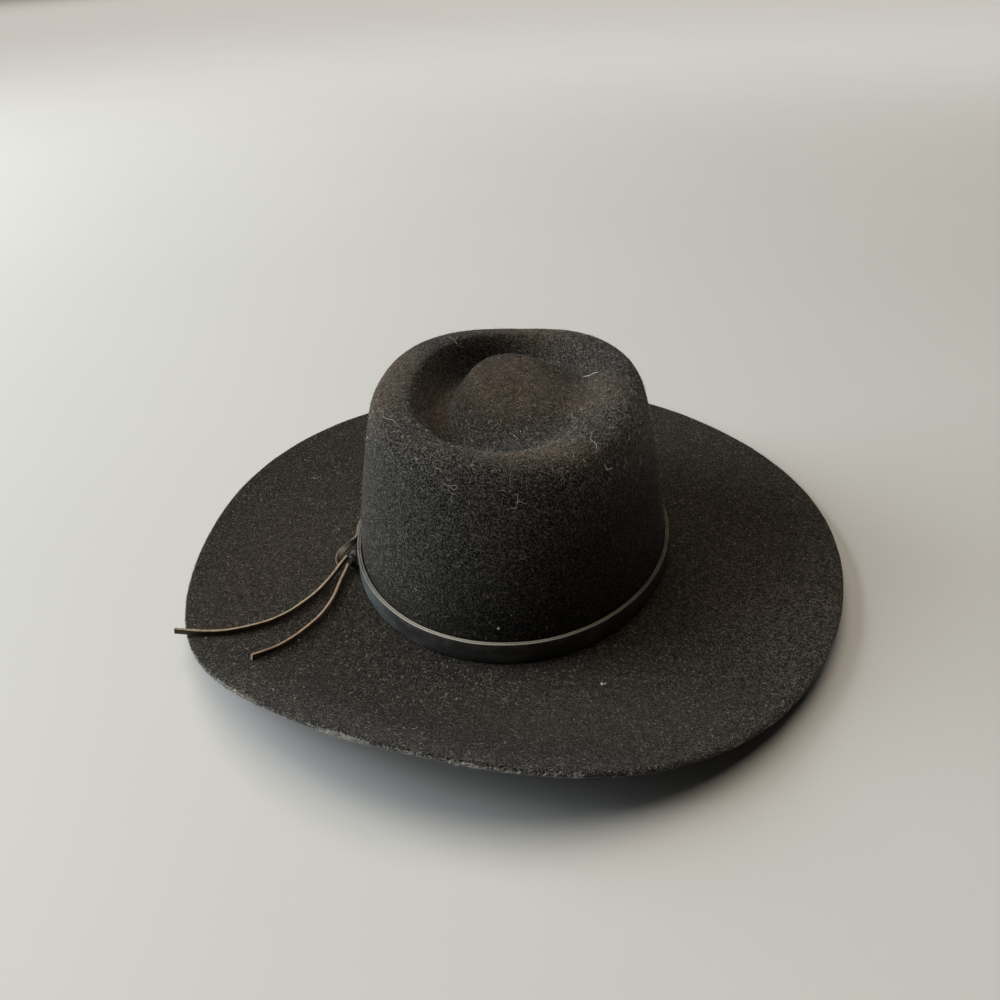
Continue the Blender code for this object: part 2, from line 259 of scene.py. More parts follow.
class Nodes:
    """A small helper that adds nodes to a material and joins them."""

    def __init__(self, name):
        self.mat = bpy.data.materials.new(name)
        self.mat.use_nodes = True
        self.tree = self.mat.node_tree
        self.shader = self.tree.nodes["Principled BSDF"]
        self.coords = self.tree.nodes.new("ShaderNodeTexCoord").outputs["Object"]

    def put(self, socket, value):
        if isinstance(value, bpy.types.NodeSocket):
            self.tree.links.new(value, socket)
        elif isinstance(value, tuple) and len(value) == 3 and socket.type == "RGBA":
            socket.default_value = (*value, 1.0)
        else:
            socket.default_value = value

    def noise(self, scale, detail=3.0, rough=0.55, distort=0.0, at=None):
        node = self.tree.nodes.new("ShaderNodeTexNoise")
        self.put(node.inputs["Vector"], at or self.coords)
        node.inputs["Scale"].default_value = scale
        node.inputs["Detail"].default_value = detail
        node.inputs["Roughness"].default_value = rough
        node.inputs["Distortion"].default_value = distort
        return node.outputs["Fac"]

    def cells(self, scale):
        """The distance to the nearest of many scattered points."""
        node = self.tree.nodes.new("ShaderNodeTexVoronoi")
        self.put(node.inputs["Vector"], self.coords)
        node.inputs["Scale"].default_value = scale
        return node.outputs["Distance"]

    def turned(self, turn, stretch):
        """The coordinates turned, in degrees, and stretched."""
        node = self.tree.nodes.new("ShaderNodeMapping")
        node.vector_type = "TEXTURE"
        self.put(node.inputs["Vector"], self.coords)
        node.inputs["Rotation"].default_value = tuple(math.radians(t) for t in turn)
        node.inputs["Scale"].default_value = stretch
        return node.outputs["Vector"]

    def ramp(self, value, low, high, to_low=0.0, to_high=1.0):
        """A soft step from one level to another while the value goes from low to high."""
        node = self.tree.nodes.new("ShaderNodeMapRange")
        node.interpolation_type = "SMOOTHSTEP"
        self.put(node.inputs["Value"], value)
        node.inputs["From Min"].default_value = low
        node.inputs["From Max"].default_value = high
        node.inputs["To Min"].default_value = to_low
        node.inputs["To Max"].default_value = to_high
        return node.outputs["Result"]

    def math(self, kind, a, b=0.0):
        node = self.tree.nodes.new("ShaderNodeMath")
        node.operation = kind
        self.put(node.inputs[0], a)
        self.put(node.inputs[1], b)
        return node.outputs[0]

    def times(self, a, b):
        return self.math("MULTIPLY", a, b)

    def mix(self, share, a, b):
        """Colour a, and colour b over it where the share is high."""
        node = self.tree.nodes.new("ShaderNodeMix")
        node.data_type = "RGBA"
        self.put(node.inputs[0], share)
        self.put(node.inputs[6], a)
        self.put(node.inputs[7], b)
        return node.outputs[2]

    def spot(self, centre, radii, soft):
        """1 inside an egg-shaped patch, falling to 0 at its edge."""
        node = self.tree.nodes.new("ShaderNodeMapping")
        node.vector_type = "POINT"
        self.put(node.inputs["Vector"], self.coords)
        stretch = tuple(1 / r for r in radii)
        node.inputs["Scale"].default_value = stretch
        node.inputs["Location"].default_value = tuple(-c * k for c, k in zip(centre, stretch))
        length = self.tree.nodes.new("ShaderNodeVectorMath")
        length.operation = "LENGTH"
        self.put(length.inputs[0], node.outputs["Vector"])
        return self.ramp(length.outputs["Value"], 1.0, 1.0 - soft)

    def height(self):
        node = self.tree.nodes.new("ShaderNodeSeparateXYZ")
        self.put(node.inputs[0], self.coords)
        return node.outputs["Z"]

    def bump(self, height, strength, distance, after=None):
        node = self.tree.nodes.new("ShaderNodeBump")
        node.inputs["Strength"].default_value = strength
        node.inputs["Distance"].default_value = distance
        self.put(node.inputs["Height"], height)
        if after is not None:
            self.put(node.inputs["Normal"], after)
        return node.outputs["Normal"]

    def finish(self, colour, rough, normal, sheen, sheen_tint, sheen_rough, specular):
        """The material, with all that its shader needs."""
        self.put(self.shader.inputs["Base Color"], colour)
        self.put(self.shader.inputs["Roughness"], rough)
        if normal is not None:
            self.put(self.shader.inputs["Normal"], normal)
        self.shader.inputs["Sheen Weight"].default_value = sheen
        self.shader.inputs["Sheen Roughness"].default_value = sheen_rough
        self.shader.inputs["Sheen Tint"].default_value = (*sheen_tint, 1.0)
        self.shader.inputs["Specular IOR Level"].default_value = specular
        return self.mat


# Patches where the hat's colour changes, some of them painted light or shade: middle, half sizes, softness
# of the patch's rim
DOME = ((0.004, 0.0, 0.100), (0.050, 0.060, 0.022), 0.4)
# Painted light: the brim right of the crown is made lighter where the crown's shadow falls
RIGHT_BRIM_PAINTED_LIGHT = ((0.152, -0.060, 0.012), (0.062, 0.095, 0.050), 0.9)
# Painted shade: the near brim is made darker
NEAR_BRIM_PAINTED_SHADE = ((0.020, -0.150, 0.010), (0.130, 0.085, 0.060), 0.7)
# Painted shade on the fibres of the near brim
NEAR_BRIM_FIBRE_SHADE = ((0.040, -0.150, 0.010), (0.100, 0.070, 0.050), 0.7)
NEAR_EDGE = ((-0.060, -0.185, 0.010), (0.150, 0.090, 0.060), 0.6)
# Painted shade on the crown's right and near wall, away from the window light
SHADED_WALL = ((0.072, -0.066, 0.046), (0.078, 0.086, 0.046), 0.7)
# Painted shade on the fibres of the crown's right and near wall
SHADED_WALL_FIBRES = ((0.072, -0.066, 0.046), (0.078, 0.086, 0.048), 0.6)
# A darker patch on the crown's right crest
DARK_CREST_PATCH = ((0.064, -0.030, 0.090), (0.040, 0.052, 0.022), 0.8)
NEAR_BAND = ((0.004, -0.112, 0.0148), (0.110, 0.080, 0.030), 0.7)
# Painted reflection: a bluish patch on the band's left side, as of the window reflected in it
LEFT_BAND_REFLECTION = ((-0.086, -0.050, 0.009), (0.060, 0.075, 0.060), 0.8)
# Worn and paler, with a painted highlight: the thong's face where it bends round the knot
LOOP_BEND_WEAR_AND_HIGHLIGHT = ((-0.0925, -0.0405, 0.0105), (0.0060, 0.0065, 0.0060), 0.8)

# Places where the felt is rubbed brown, one of them also a painted light: middle, half sizes, strength
RUBBED_AND_LIT_PATCHES = (
    ((0.020, -0.070, 0.099), (0.046, 0.020, 0.012), 0.95),
    ((0.040, -0.010, 0.100), (0.030, 0.036, 0.012), 0.85),
    ((0.004, 0.002, 0.100), (0.044, 0.052, 0.018), 0.80),
    # Rubbed brown, and also a painted light: the warm light in the shade of the recess's left side
    ((-0.046, -0.006, 0.084), (0.024, 0.046, 0.022), 1.00),
    ((-0.064, -0.010, 0.102), (0.020, 0.065, 0.014), 0.90),
    ((0.072, -0.030, 0.090), (0.016, 0.050, 0.018), 0.55),
    ((0.010, 0.074, 0.100), (0.070, 0.034, 0.016), 0.85),
    ((0.060, -0.140, 0.010), (0.110, 0.050, 0.030), 0.20),
    ((-0.130, -0.040, 0.010), (0.060, 0.120, 0.030), 0.20),
)

# Directions of the streaks in the felt, as turns in degrees
FIBRE_TURNS = ((0, 10, 0), (0, 62, 55), (38, 0, 120), (35, 80, 20), (20, 15, 85))


def fibre_streaks(n, scale):
    """Short thin streaks that lie every way, from noise drawn out along several lines."""
    total = None
    for k, turn in enumerate(FIBRE_TURNS):
        at = n.turned(turn, (4.5, 1.0, 1.0))
        streak = n.noise(scale * (1 + 0.07 * k), 0.0, 0.5, 0.6, at)
        streak = n.ramp(streak, 0.64, 0.77)
        total = streak if total is None else n.math("MAXIMUM", total, streak)
    return total


def rubbed_and_lit_share(n):
    """How far the felt is rubbed brown, in patches with a ragged rim, one of them also a painted light in
    the recess.
    """
    total = None
    for centre, radii, strength in RUBBED_AND_LIT_PATCHES:
        spot = n.times(n.spot(centre, radii, 0.7), strength)
        total = spot if total is None else n.math("MAXIMUM", total, spot)
    return n.times(total, n.ramp(n.noise(300, 3.0, 0.6), 0.30, 0.62, 0.35, 1.0))


def felt_material():
    n = Nodes("matted_black_felt")
    patch = n.noise(60, 3.0, 0.6)
    clump = n.noise(330, 2.0, 0.6)
    grain = n.noise(1350, 2.0, 0.8)
    lift = n.math("ADD", grain, n.ramp(clump, 0.3, 0.7, -0.035, 0.035))
    streaks = fibre_streaks(n, 1700)
    brim = n.math("MAXIMUM", n.ramp(n.height(), 0.030, 0.014), n.spot(*DOME))
    # Painted light and shade: lighter on the brim right of the crown, darker on the near brim and on the
    # crown's right and near wall
    right = n.spot(*RIGHT_BRIM_PAINTED_LIGHT)
    near = n.times(n.spot(*NEAR_BRIM_PAINTED_SHADE), 0.58)
    shaded = n.times(n.spot(*SHADED_WALL), 0.85)
    dark_crest = n.times(n.spot(*DARK_CREST_PATCH), n.ramp(n.noise(130, 3.0), 0.42, 0.58))

    dark = n.mix(brim, (0.0020, 0.0017, 0.0014), (0.0028, 0.0020, 0.0013))
    light = n.mix(brim, (0.0670, 0.0620, 0.0550), (0.0345, 0.0283, 0.0205))
    # Painted light: the grain's light tone is lighter on the brim right of the crown
    light = n.mix(right, light, (0.0640, 0.0570, 0.0480))
    colour = n.mix(n.ramp(lift, 0.505, 0.685), dark, light)
    colour = n.mix(n.ramp(patch, 0.40, 0.70, 0.0, 0.40), colour, (0.0100, 0.0082, 0.0060))
    colour = n.mix(n.ramp(n.noise(150, 2.0), 0.42, 0.60, 0.0, 0.55), colour, (0.0060, 0.0050, 0.0036))
    # Painted shade: darker on the near brim and on the crown's right and near wall
    colour = n.mix(near, colour, (0.0030, 0.0025, 0.0020))
    colour = n.mix(shaded, colour, (0.0026, 0.0020, 0.0015))
    # Darker in patches on the crown's right crest
    colour = n.mix(n.times(dark_crest, 0.75), colour, (0.0060, 0.0040, 0.0026))

    # Rubbed brown, and in the recess's left side also a painted light
    worn = n.mix(n.ramp(lift, 0.43, 0.63), (0.0150, 0.0096, 0.0056), (0.1750, 0.1220, 0.0760))
    colour = n.mix(rubbed_and_lit_share(n), colour, worn)

    fibre = n.mix(brim, (0.2200, 0.2080, 0.1860), (0.1200, 0.1010, 0.0770))
    # The streaks get the same painted shade and light: darker on the crown's right and near wall and on the
    # near brim, lighter on the brim right of the crown
    fibre = n.mix(shaded, fibre, (0.0700, 0.0600, 0.0480))
    fibre = n.mix(near, fibre, (0.0600, 0.0520, 0.0420))
    fibre = n.mix(right, fibre, (0.2100, 0.1850, 0.1520))
    colour = n.mix(n.times(streaks, 0.70), colour, fibre)

    specks = n.times(n.ramp(n.cells(360), 0.19, 0.10), n.ramp(n.noise(170, 1.0), 0.54, 0.63))
    colour = n.mix(n.times(specks, 0.70), colour, (0.2300, 0.2050, 0.1700))

    height = n.math("ADD", n.times(patch, 0.0005), n.times(grain, 0.0009))
    height = n.math("ADD", height, n.times(streaks, 0.00025))
    return n.finish(colour, 0.95, n.bump(height, 1.0, 1.0), 0.07, (0.80, 0.86, 0.92), 0.40, 0.12)


def cut_edge_material():
    n = Nodes("cut_felt_edge")
    grain = n.noise(1100, 2.0, 0.8)
    patch = n.noise(120, 2.0, 0.6)
    light = n.mix(n.spot(*NEAR_EDGE), (0.0500, 0.0440, 0.0360), (0.1900, 0.1900, 0.1820))
    colour = n.mix(n.ramp(grain, 0.46, 0.64), (0.0120, 0.0112, 0.0100), light)
    colour = n.mix(n.ramp(patch, 0.45, 0.70, 0.0, 0.6), colour, (0.0150, 0.0140, 0.0125))
    return n.finish(colour, 0.95, n.bump(grain, 0.8, 0.0006), 0.15, (0.85, 0.88, 0.92), 0.4, 0.12)


def fibre_material(name, one, other, painted_shade=0.0, bright=0.0):
    """Fibres of two colours, with painted shade on the crown's shaded side and the near brim and painted
    light on the brim right of the crown.
    """
    n = Nodes(name)
    colour = n.mix(n.ramp(n.noise(500, 1.0), 0.35, 0.65), one, other)
    # Painted shade: the fibres darker on the crown's right and near wall and on the near brim
    if painted_shade:
        near = n.times(n.spot(*NEAR_BRIM_FIBRE_SHADE), 0.5)
        share = n.times(n.math("MAXIMUM", n.spot(*SHADED_WALL_FIBRES), near), painted_shade)
        colour = n.mix(share, colour, (0.0050, 0.0044, 0.0038))
    # Painted light: the fibres lighter on the brim right of the crown
    if bright:
        colour = n.mix(n.times(n.spot(*RIGHT_BRIM_PAINTED_LIGHT), bright), colour, (0.3300, 0.3000, 0.2600))
    return n.finish(colour, 0.8, None, 0.3, (1, 1, 1), 0.5, 0.3)


def leather_material(name, dark, light, rough=(0.38, 0.54), patch=None, sheen_and_wear_colour=None):
    """Grained leather, with one paler patch where patch and its colour are given: a painted reflection on
    the band, wear with a painted highlight on the loop's bend.
    """
    n = Nodes(name)
    pores = n.cells(1500)
    grain = n.noise(500, 4.0, 0.6)
    wear = n.noise(70, 4.0, 0.6)
    colour = n.mix(n.ramp(wear, 0.40, 0.72), dark, light)
    dust = n.times(n.ramp(n.noise(900, 2.0), 0.62, 0.75), 0.35)
    colour = n.mix(dust, colour, (0.0900, 0.0880, 0.0850))
    if patch is not None:
        colour = n.mix(n.times(n.spot(*patch), n.ramp(wear, 0.2, 0.6)), colour, sheen_and_wear_colour)
    normal = n.bump(grain, 0.25, 0.0004)
    normal = n.bump(n.ramp(pores, 0.0, 0.5), 0.25, 0.0002, normal)
    return n.finish(colour, n.ramp(grain, 0.3, 0.7, *rough), normal, 0.0, (1, 1, 1), 0.5, 0.7)


def raw_edge_material(name, pale, dark, front=None):
    """A cut edge of leather, of another colour at the near side of the band where front is given."""
    n = Nodes(name)
    along = n.noise(260, 4.0, 0.65)
    fluff = n.noise(1700, 3.0, 0.7)
    colour = n.mix(n.ramp(along, 0.30, 0.70), pale, dark)
    pits = n.times(n.ramp(fluff, 0.50, 0.72), 0.6)
    colour = n.mix(pits, colour, tuple(c * 0.35 for c in dark))
    if front is not None:
        colour = n.mix(n.times(n.spot(*NEAR_BAND), n.ramp(fluff, 0.2, 0.6, 0.6, 1.0)), colour, front)
    normal = n.bump(fluff, 0.7, 0.0003)
    return n.finish(colour, 0.85, normal, 0.2, (1, 1, 1), 0.5, 0.25)


# Felt


def rounded_felt(mats):
    """The felt's CAD solid as quads, rounded by subdivision."""
    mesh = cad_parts["felt_body"].data.copy()
    mesh.name = "felt"
    mesh.materials.clear()
    for mat in mats:
        mesh.materials.append(mat)
    quad_angle = math.radians(60)
    bm = bmesh.new()
    bm.from_mesh(mesh)
    bmesh.ops.remove_doubles(bm, verts=bm.verts, dist=1e-6)
    bmesh.ops.join_triangles(
        bm, faces=bm.faces, angle_face_threshold=quad_angle, angle_shape_threshold=quad_angle
    )
    for face in bm.faces:
        face.smooth = True
        face.material_index = 0
    for edge in bm.edges:
        edge.smooth = True
    bm.to_mesh(mesh)
    bm.free()
    obj = bpy.data.objects.new("felt", mesh)
    SCENE.collection.objects.link(obj)
    subdivide = obj.modifiers.new("smooth", "SUBSURF")
    subdivide.levels = 2
    subdivide.render_levels = 2
    subdivide.boundary_smooth = "ALL"
    deps = bpy.context.evaluated_depsgraph_get()
    final = bpy.data.meshes.new_from_object(obj.evaluated_get(deps))
    obj.modifiers.clear()
    obj.data = final
    return obj


def mesh_values(items, kind, count):
    """The places or normals of a mesh's items, as rows of three."""
    values = np.empty(count * 3)
    items.foreach_get(kind, values)
    return values.reshape(-1, 3)


def roughen(mesh):
    """The slight unevenness of pressed felt, away from the band and from the surface it rests on."""
    count = len(mesh.vertices)
    places = mesh_values(mesh.vertices, "co", count)
    normals = mesh_values(mesh.vertex_normals, "vector", count)
    wave = np.array([noise.noise(Vector(p) * 38.0) + 0.5 * noise.noise(Vector(p) * 110.0) for p in places])
    away = reach(places[:, 0], places[:, 1])
    height = places[:, 2]
    share = np.clip(np.abs(away - 1.0) / 0.06, 0, 1) * (height > 0.0004)
    share = np.maximum(share, np.clip((height - 0.018) / 0.01, 0, 1))
    places += normals * (wave * 0.00022 * share)[:, None]
    mesh.vertices.foreach_set("co", places.ravel())
    mesh.update()


def felt_piece(mat, edge_mat):
    """The felt, with its other material on the cut edge of the brim."""
    obj = rounded_felt([mat, edge_mat])
    roughen(obj.data)
    for face in obj.data.polygons:
        on_edge = reach(face.center.x, face.center.y) > 1.6 and abs(face.normal.z) < 0.72
        face.material_index = 1 if on_edge else 0
    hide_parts("felt_body")
    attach(obj, "root")
    return obj


class Surface:
    """The felt's triangles, to draw points on it."""

    def __init__(self, obj):
        mesh = obj.data
        mesh.calc_loop_triangles()
        count = len(mesh.loop_triangles)
        index = np.empty(count * 3, dtype=np.int32)
        mesh.loop_triangles.foreach_get("vertices", index)
        places = mesh_values(mesh.vertices, "co", len(mesh.vertices))
        self.corners = places[index.reshape(-1, 3)]
        cross = np.cross(self.corners[:, 1] - self.corners[:, 0], self.corners[:, 2] - self.corners[:, 0])
        self.area = np.linalg.norm(cross, axis=1) / 2
        self.normal = unit(cross)
        self.centre = self.corners.mean(axis=1)
        self.tree = BVHTree.FromPolygons([Vector(p) for p in places], index.reshape(-1, 3).tolist())

    def draw(self, weight, count):
        """Points on the triangles, more of them where the weight is higher, with their normals."""
        share = self.area * weight
        chosen = RNG.choice(len(share), size=count, p=share / share.sum())
        u = RNG.random((count, 1))
        v = RNG.random((count, 1))
        flip = (u + v) > 1
        u = np.where(flip, 1 - u, u)
        v = np.where(flip, 1 - v, v)
        tri = self.corners[chosen]
        points = tri[:, 0] + u * (tri[:, 1] - tri[:, 0]) + v * (tri[:, 2] - tri[:, 0])
        return points, self.normal[chosen]


def ribbons(name, roots, normals, lengths, width, lean, curl, mat, segments=4):
    """Fibres as thin ribbons that leave the surface at a slant and curl."""
    count = len(roots)
    guess = RNG.normal(size=(count, 3))
    along = unit(guess - normals * (guess * normals).sum(1, keepdims=True))
    cross = np.cross(normals, along)
    turn = RNG.normal(size=(count, 1)) * curl
    wobble = RNG.random((count, 1)) * 2 * math.pi
    rise = np.abs(RNG.normal(size=(count, 1))) ** 1.5 * lean
    rows = [roots + normals * 0.00002]
    for k in range(segments):
        s = (k + 0.5) / segments
        heading = turn * s + 0.3 * curl * np.sin(wobble + 5.0 * s)
        forward = along * np.cos(heading) + cross * np.sin(heading) + normals * rise * (1.4 - 1.6 * s)
        rows.append(rows[-1] + forward * lengths[:, None] / segments)
    rows = np.array(rows)
    spin = RNG.random((count, 1)) * math.pi
    wide = unit(cross * np.cos(spin) + normals * np.sin(spin)) * (width / 2)
    taper = 1 - 0.7 * np.linspace(0, 1, segments + 1) ** 3
    left = rows - wide[None] * taper[:, None, None]
    right = rows + wide[None] * taper[:, None, None]
    points = np.stack([left, right], 2).transpose(1, 0, 2, 3).reshape(-1, 3)
    base = np.arange(count)[:, None] * 2 * (segments + 1)
    quads = [base + 2 * k + np.array([[0, 1, 3, 2]]) for k in range(segments)]
    quads = np.concatenate(quads, axis=1).reshape(-1, 4)
    loose_mesh(name, points, quads, mat)


def loose_mesh(name, points, quads, mat):
    """Many fibres or hairs as one object on the felt."""
    mesh = bpy.data.meshes.new(name)
    mesh.vertices.add(len(points))
    mesh.vertices.foreach_set("co", np.asarray(points, float).ravel())
    mesh.loops.add(quads.size)
    mesh.loops.foreach_set("vertex_index", quads.ravel().astype(np.int32))
    mesh.polygons.add(len(quads))
    mesh.polygons.foreach_set("loop_start", np.arange(len(quads), dtype=np.int32) * 4)
    mesh.update(calc_edges=True)
    mesh.shade_smooth()
    mesh.materials.append(mat)
    obj = bpy.data.objects.new(name, mesh)
    SCENE.collection.objects.link(obj)
    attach(obj, "root")


# Fibres on the felt: number, shortest, longest, width, lean, curl, segments
FIBRES = {
    "crown_fuzz": (15000, 0.0006, 0.0024, 0.00009, 0.35, 2.0, 4),
    "brim_fuzz": (15000, 0.0006, 0.0024, 0.00009, 0.30, 2.0, 4),
    "edge_fuzz": (9000, 0.0004, 0.0014, 0.00010, 0.25, 2.0, 4),
    "crown_lint": (9500, 0.0006, 0.0036, 0.00013, 0.25, 3.0, 6),
    "brim_lint": (10500, 0.0004, 0.0028, 0.00014, 0.20, 3.0, 6),
    "edge_lint": (8500, 0.0005, 0.0018, 0.00013, 0.25, 3.0, 5),
}

# Sides and steps of a loose hair's tube, and the thickness from which a hair is white
HAIR_SIDES = 4
HAIR_STEP = 0.0004
WHITE_HAIR = 0.00015

# Hairs caught in the felt: start, heading in degrees, length, curl in degrees, wave, thickness
HAIRS = (
    ((-0.0420, 0.0472, 0.1042), -60, 0.0140, 60, 0.8, 0.00010),
    ((-0.0603, -0.0414, 0.1014), -58, 0.0240, 25, 0.7, 0.00009),
    ((-0.0186, -0.0893, 0.0889), -40, 0.0150, 330, 2.0, 0.00011),
    ((-0.0170, -0.0890, 0.0880), -80, 0.0050, 120, 0.6, 0.00009),
    ((0.0098, -0.0932, 0.0805), 60, 0.0120, -60, 1.8, 0.00011),
    ((0.0130, -0.0915, 0.0840), 20, 0.0070, 200, 1.0, 0.00009),
    ((0.0437, -0.0535, 0.1008), -86, 0.0150, 30, 1.0, 0.00011),
    ((0.0510, -0.0676, 0.0925), -70, 0.0080, 110, 0.8, 0.00018),
    ((0.0362, 0.0195, 0.0948), -24, 0.0110, 6, 0.1, 0.00018),
    ((0.0606, -0.0553, 0.0892), -80, 0.0060, 90, 1.0, 0.00011),
    ((-0.0259, -0.0818, 0.0981), -70, 0.0090, 60, 1.2, 0.00009),
    ((0.0680, -0.0410, 0.0826), -100, 0.0070, 70, 1.4, 0.00010),
    ((0.0321, -0.0828, 0.0916), 30, 0.0060, 150, 1.0, 0.00010),
    ((0.0400, -0.0790, 0.0860), 10, 0.0040, 90, 1.0, 0.00012),
    ((-0.0300, -0.0880, 0.0700), 30, 0.0050, 170, 1.0, 0.00009),
    ((0.0150, -0.0990, 0.0580), -20, 0.0060, 140, 1.2, 0.00009),
    ((-0.1391, 0.0448, 0.0051), -40, 0.0080, 150, 1.0, 0.00014),
    ((-0.1050, -0.0100, 0.0030), 20, 0.0050, 200, 1.0, 0.00010),
    ((-0.0550, -0.1250, 0.0045), 10, 0.0070, 120, 1.2, 0.00010),
    ((0.0900, -0.1200, 0.0040), 60, 0.0060, 160, 1.2, 0.00010),
)

# Tufts of lint: middle, radius, number of fibres
TUFTS = (
    ((0.0060, -0.1066, 0.0227), 0.00055, 70),
    ((0.0557, -0.1191, 0.0043), 0.00070, 50),
    ((0.0570, -0.1185, 0.0043), 0.00050, 30),
    ((0.0930, -0.1300, 0.0060), 0.00030, 16),
    ((-0.0400, -0.1400, 0.0075), 0.00030, 16),
)


def hair_line(surface, start, heading, length, curl, wave):
    """Points just over the felt, along one wavy hair."""
    steps = max(8, round(length / HAIR_STEP))
    at = Vector(start)
    middles = []
    for k in range(steps + 1):
        share = k / steps
        near, normal, _, _ = surface.tree.find_nearest(at)
        right = Vector((1, 0, 0))
        right = (right - normal * right.dot(normal)).normalized()
        upward = normal.cross(right)
        turn = math.radians(heading + curl * share) + wave * 0.5 * math.sin(share * 11.0 + start[0] * 900)
        arch = 0.6 + 0.4 * math.sin(share * 9 + start[1] * 700)
        middles.append(near + normal * (0.00012 + 0.0005 * math.sin(share * math.pi) * arch))
        at = near + (right * math.cos(turn) + upward * math.sin(turn)) * (length / steps)
    return np.array([tuple(m) for m in middles])


def add_hairs(surface, name, hairs, mat):
    """Long loose hairs that follow the felt, as thin tubes."""
    points, quads = [], []
    for start, heading, length, curl, wave, thick in hairs:
        middles = hair_line(surface, start, heading, length, curl, wave)
        ahead = unit(np.gradient(middles, axis=0))
        side = unit(np.cross(ahead, np.array([0.3, 0.5, 0.8])))
        over = np.cross(side, ahead)
        first = len(points)
        last = len(middles) - 1
        for k in range(last + 1):
            radius = thick * 0.85 * (1 - 0.6 * abs(2 * k / last - 1) ** 3)
            for i in range(HAIR_SIDES):
                angle = 2 * math.pi * i / HAIR_SIDES
                points.append(middles[k] + (side[k] * math.cos(angle) + over[k] * math.sin(angle)) * radius)
        for k in range(last):
            row = first + k * HAIR_SIDES
            for i in range(HAIR_SIDES):
                j = (i + 1) % HAIR_SIDES
                quads.append((row + i, row + j, row + HAIR_SIDES + j, row + HAIR_SIDES + i))
    loose_mesh(name, points, np.array(quads), mat)


def add_tufts(surface, mat):
    """Small balls of pale lint on the felt."""
    roots, normals, lengths = [], [], []
    for middle, radius, count in TUFTS:
        near, normal, _, _ = surface.tree.find_nearest(Vector(middle))
        for way in unit(RNG.normal(size=(count, 3))):
            way = way + np.array(normal) * 0.4
            roots.append(np.array(near) + np.array(normal) * radius * 0.5 + way * radius * 0.5)
            normals.append(unit(way))
            lengths.append(radius * 1.6)
    ribbons("lint_tufts", np.array(roots), np.array(normals), np.array(lengths), 0.00012, 0.2, 3.5, mat)


def fibre_weights(surface):
    """How densely each kind of fibre lies on each triangle of the felt."""
    centre, normal = surface.centre, surface.normal
    x, y, z = centre.T
    away = reach(x, y)
    from_axis = (normal[:, :2] * centre[:, :2]).sum(1)
    wall = (away < 1.005) & (z > BAND_HIGH + 0.0004)
    crown = wall & ((from_axis > 0) | (normal[:, 2] > 0.2)) & (normal[:, 2] > -0.05)
    brim = (away > 1.06) & (normal[:, 2] > 0.3)
    edge = (away > 1.7) & (np.abs(normal[:, 2]) < 0.80)
    near_rim = np.exp(-(((z - 0.098) / 0.010) ** 2)) * (y < -0.02)
    right_shoulder = np.exp(-(((z - 0.085) / 0.020) ** 2)) * (x > 0.03)
    near_band = np.exp(-((x / 0.055) ** 2) - ((y + 0.128) / 0.022) ** 2)
    clusters = np.zeros(len(centre))
    for k in np.nonzero(edge)[0]:
        clusters[k] = max(0.15, 3.0 * noise.noise(Vector(centre[k]) * 55.0))
    return {
        "crown_fuzz": crown,
        "brim_fuzz": brim,
        "edge_fuzz": edge,
        "crown_lint": crown * (0.5 + 1.2 * near_rim + 1.0 * right_shoulder),
        "brim_lint": brim * (0.35 + 0.5 * (y < -0.09) + 0.3 * (x < -0.09) + 2.2 * near_band),
        "edge_lint": edge * clusters * (0.3 + 3.0 * ((y < -0.08) & (x < 0.05))),
    }


def add_fuzz(surface):
    """Short fuzz, pale lint, loose hairs and tufts on the felt."""
    # The last two numbers give painted shade and painted light on the fibres
    dark = fibre_material("dark_fibre", (0.010, 0.009, 0.008), (0.130, 0.118, 0.100), 0.85, 0.40)
    pale = fibre_material("pale_fibre", (0.18, 0.16, 0.13), (0.52, 0.47, 0.40), 0.75, 0.40)
    # The edge lint is pale, and paler still as a painted light standing in for light bounced up from the
    # floor onto the brim's near edge
    edge_pale_and_lit = fibre_material("edge_fibre_painted_light", (0.30, 0.30, 0.29), (0.75, 0.74, 0.71))
    hair = fibre_material("loose_hair", (0.34, 0.315, 0.265), (0.56, 0.52, 0.45))
    white = fibre_material("white_lint", (0.85, 0.84, 0.80), (0.95, 0.94, 0.91))
    mats = {"crown_lint": pale, "brim_lint": pale, "edge_lint": edge_pale_and_lit}
    for name, weight in fibre_weights(surface).items():
        count, shortest, longest, width, lean, curl, segments = FIBRES[name]
        roots, normals = surface.draw(weight.astype(float), count)
        lengths = shortest + (longest - shortest) * RNG.random(count) ** 2
        ribbons(name, roots, normals, lengths, width, lean, curl, mats.get(name, dark), segments)
    add_hairs(surface, "bright_hairs", [h for h in HAIRS if h[-1] > WHITE_HAIR], white)
    add_hairs(surface, "loose_hairs", [h for h in HAIRS if h[-1] < WHITE_HAIR], hair)
    add_tufts(surface, white)


# Band


def band_profile():
    """Two layers of leather with a groove between them: way out, height, material of the next side."""
    inner = BAND_GAP
    outer = BAND_GAP + BAND_THICK
    mid = inner + BAND_THICK * 0.5
    low, high = BAND_LOW, BAND_HIGH
    return (
        (inner, high - 0.0004, 0),
        (inner + 0.0003, high, 1),
        (mid - 0.0002, high, 1),
        (mid - 0.00012, high - 0.0002, 0),
        (mid, high - 0.0007, 0),
        (mid + 0.00016, high - 0.0002, 0),
        (mid + 0.00026, high, 1),
        (outer - 0.0004, high, 1),
        (outer - 0.00012, high - 0.00012, 0),
        (outer, high - 0.0005, 0),
        (outer + 0.00004, (2 * high + low) / 3, 0),
        (outer + 0.00004, (high + 2 * low) / 3, 0),
        (outer, low + 0.0005, 0),
        (outer - 0.00015, low + 0.00015, 0),
        (outer - 0.0005, low, 0),
        (inner + 0.0006, low, 0),
        (inner, low + 0.0009, 0),
    )


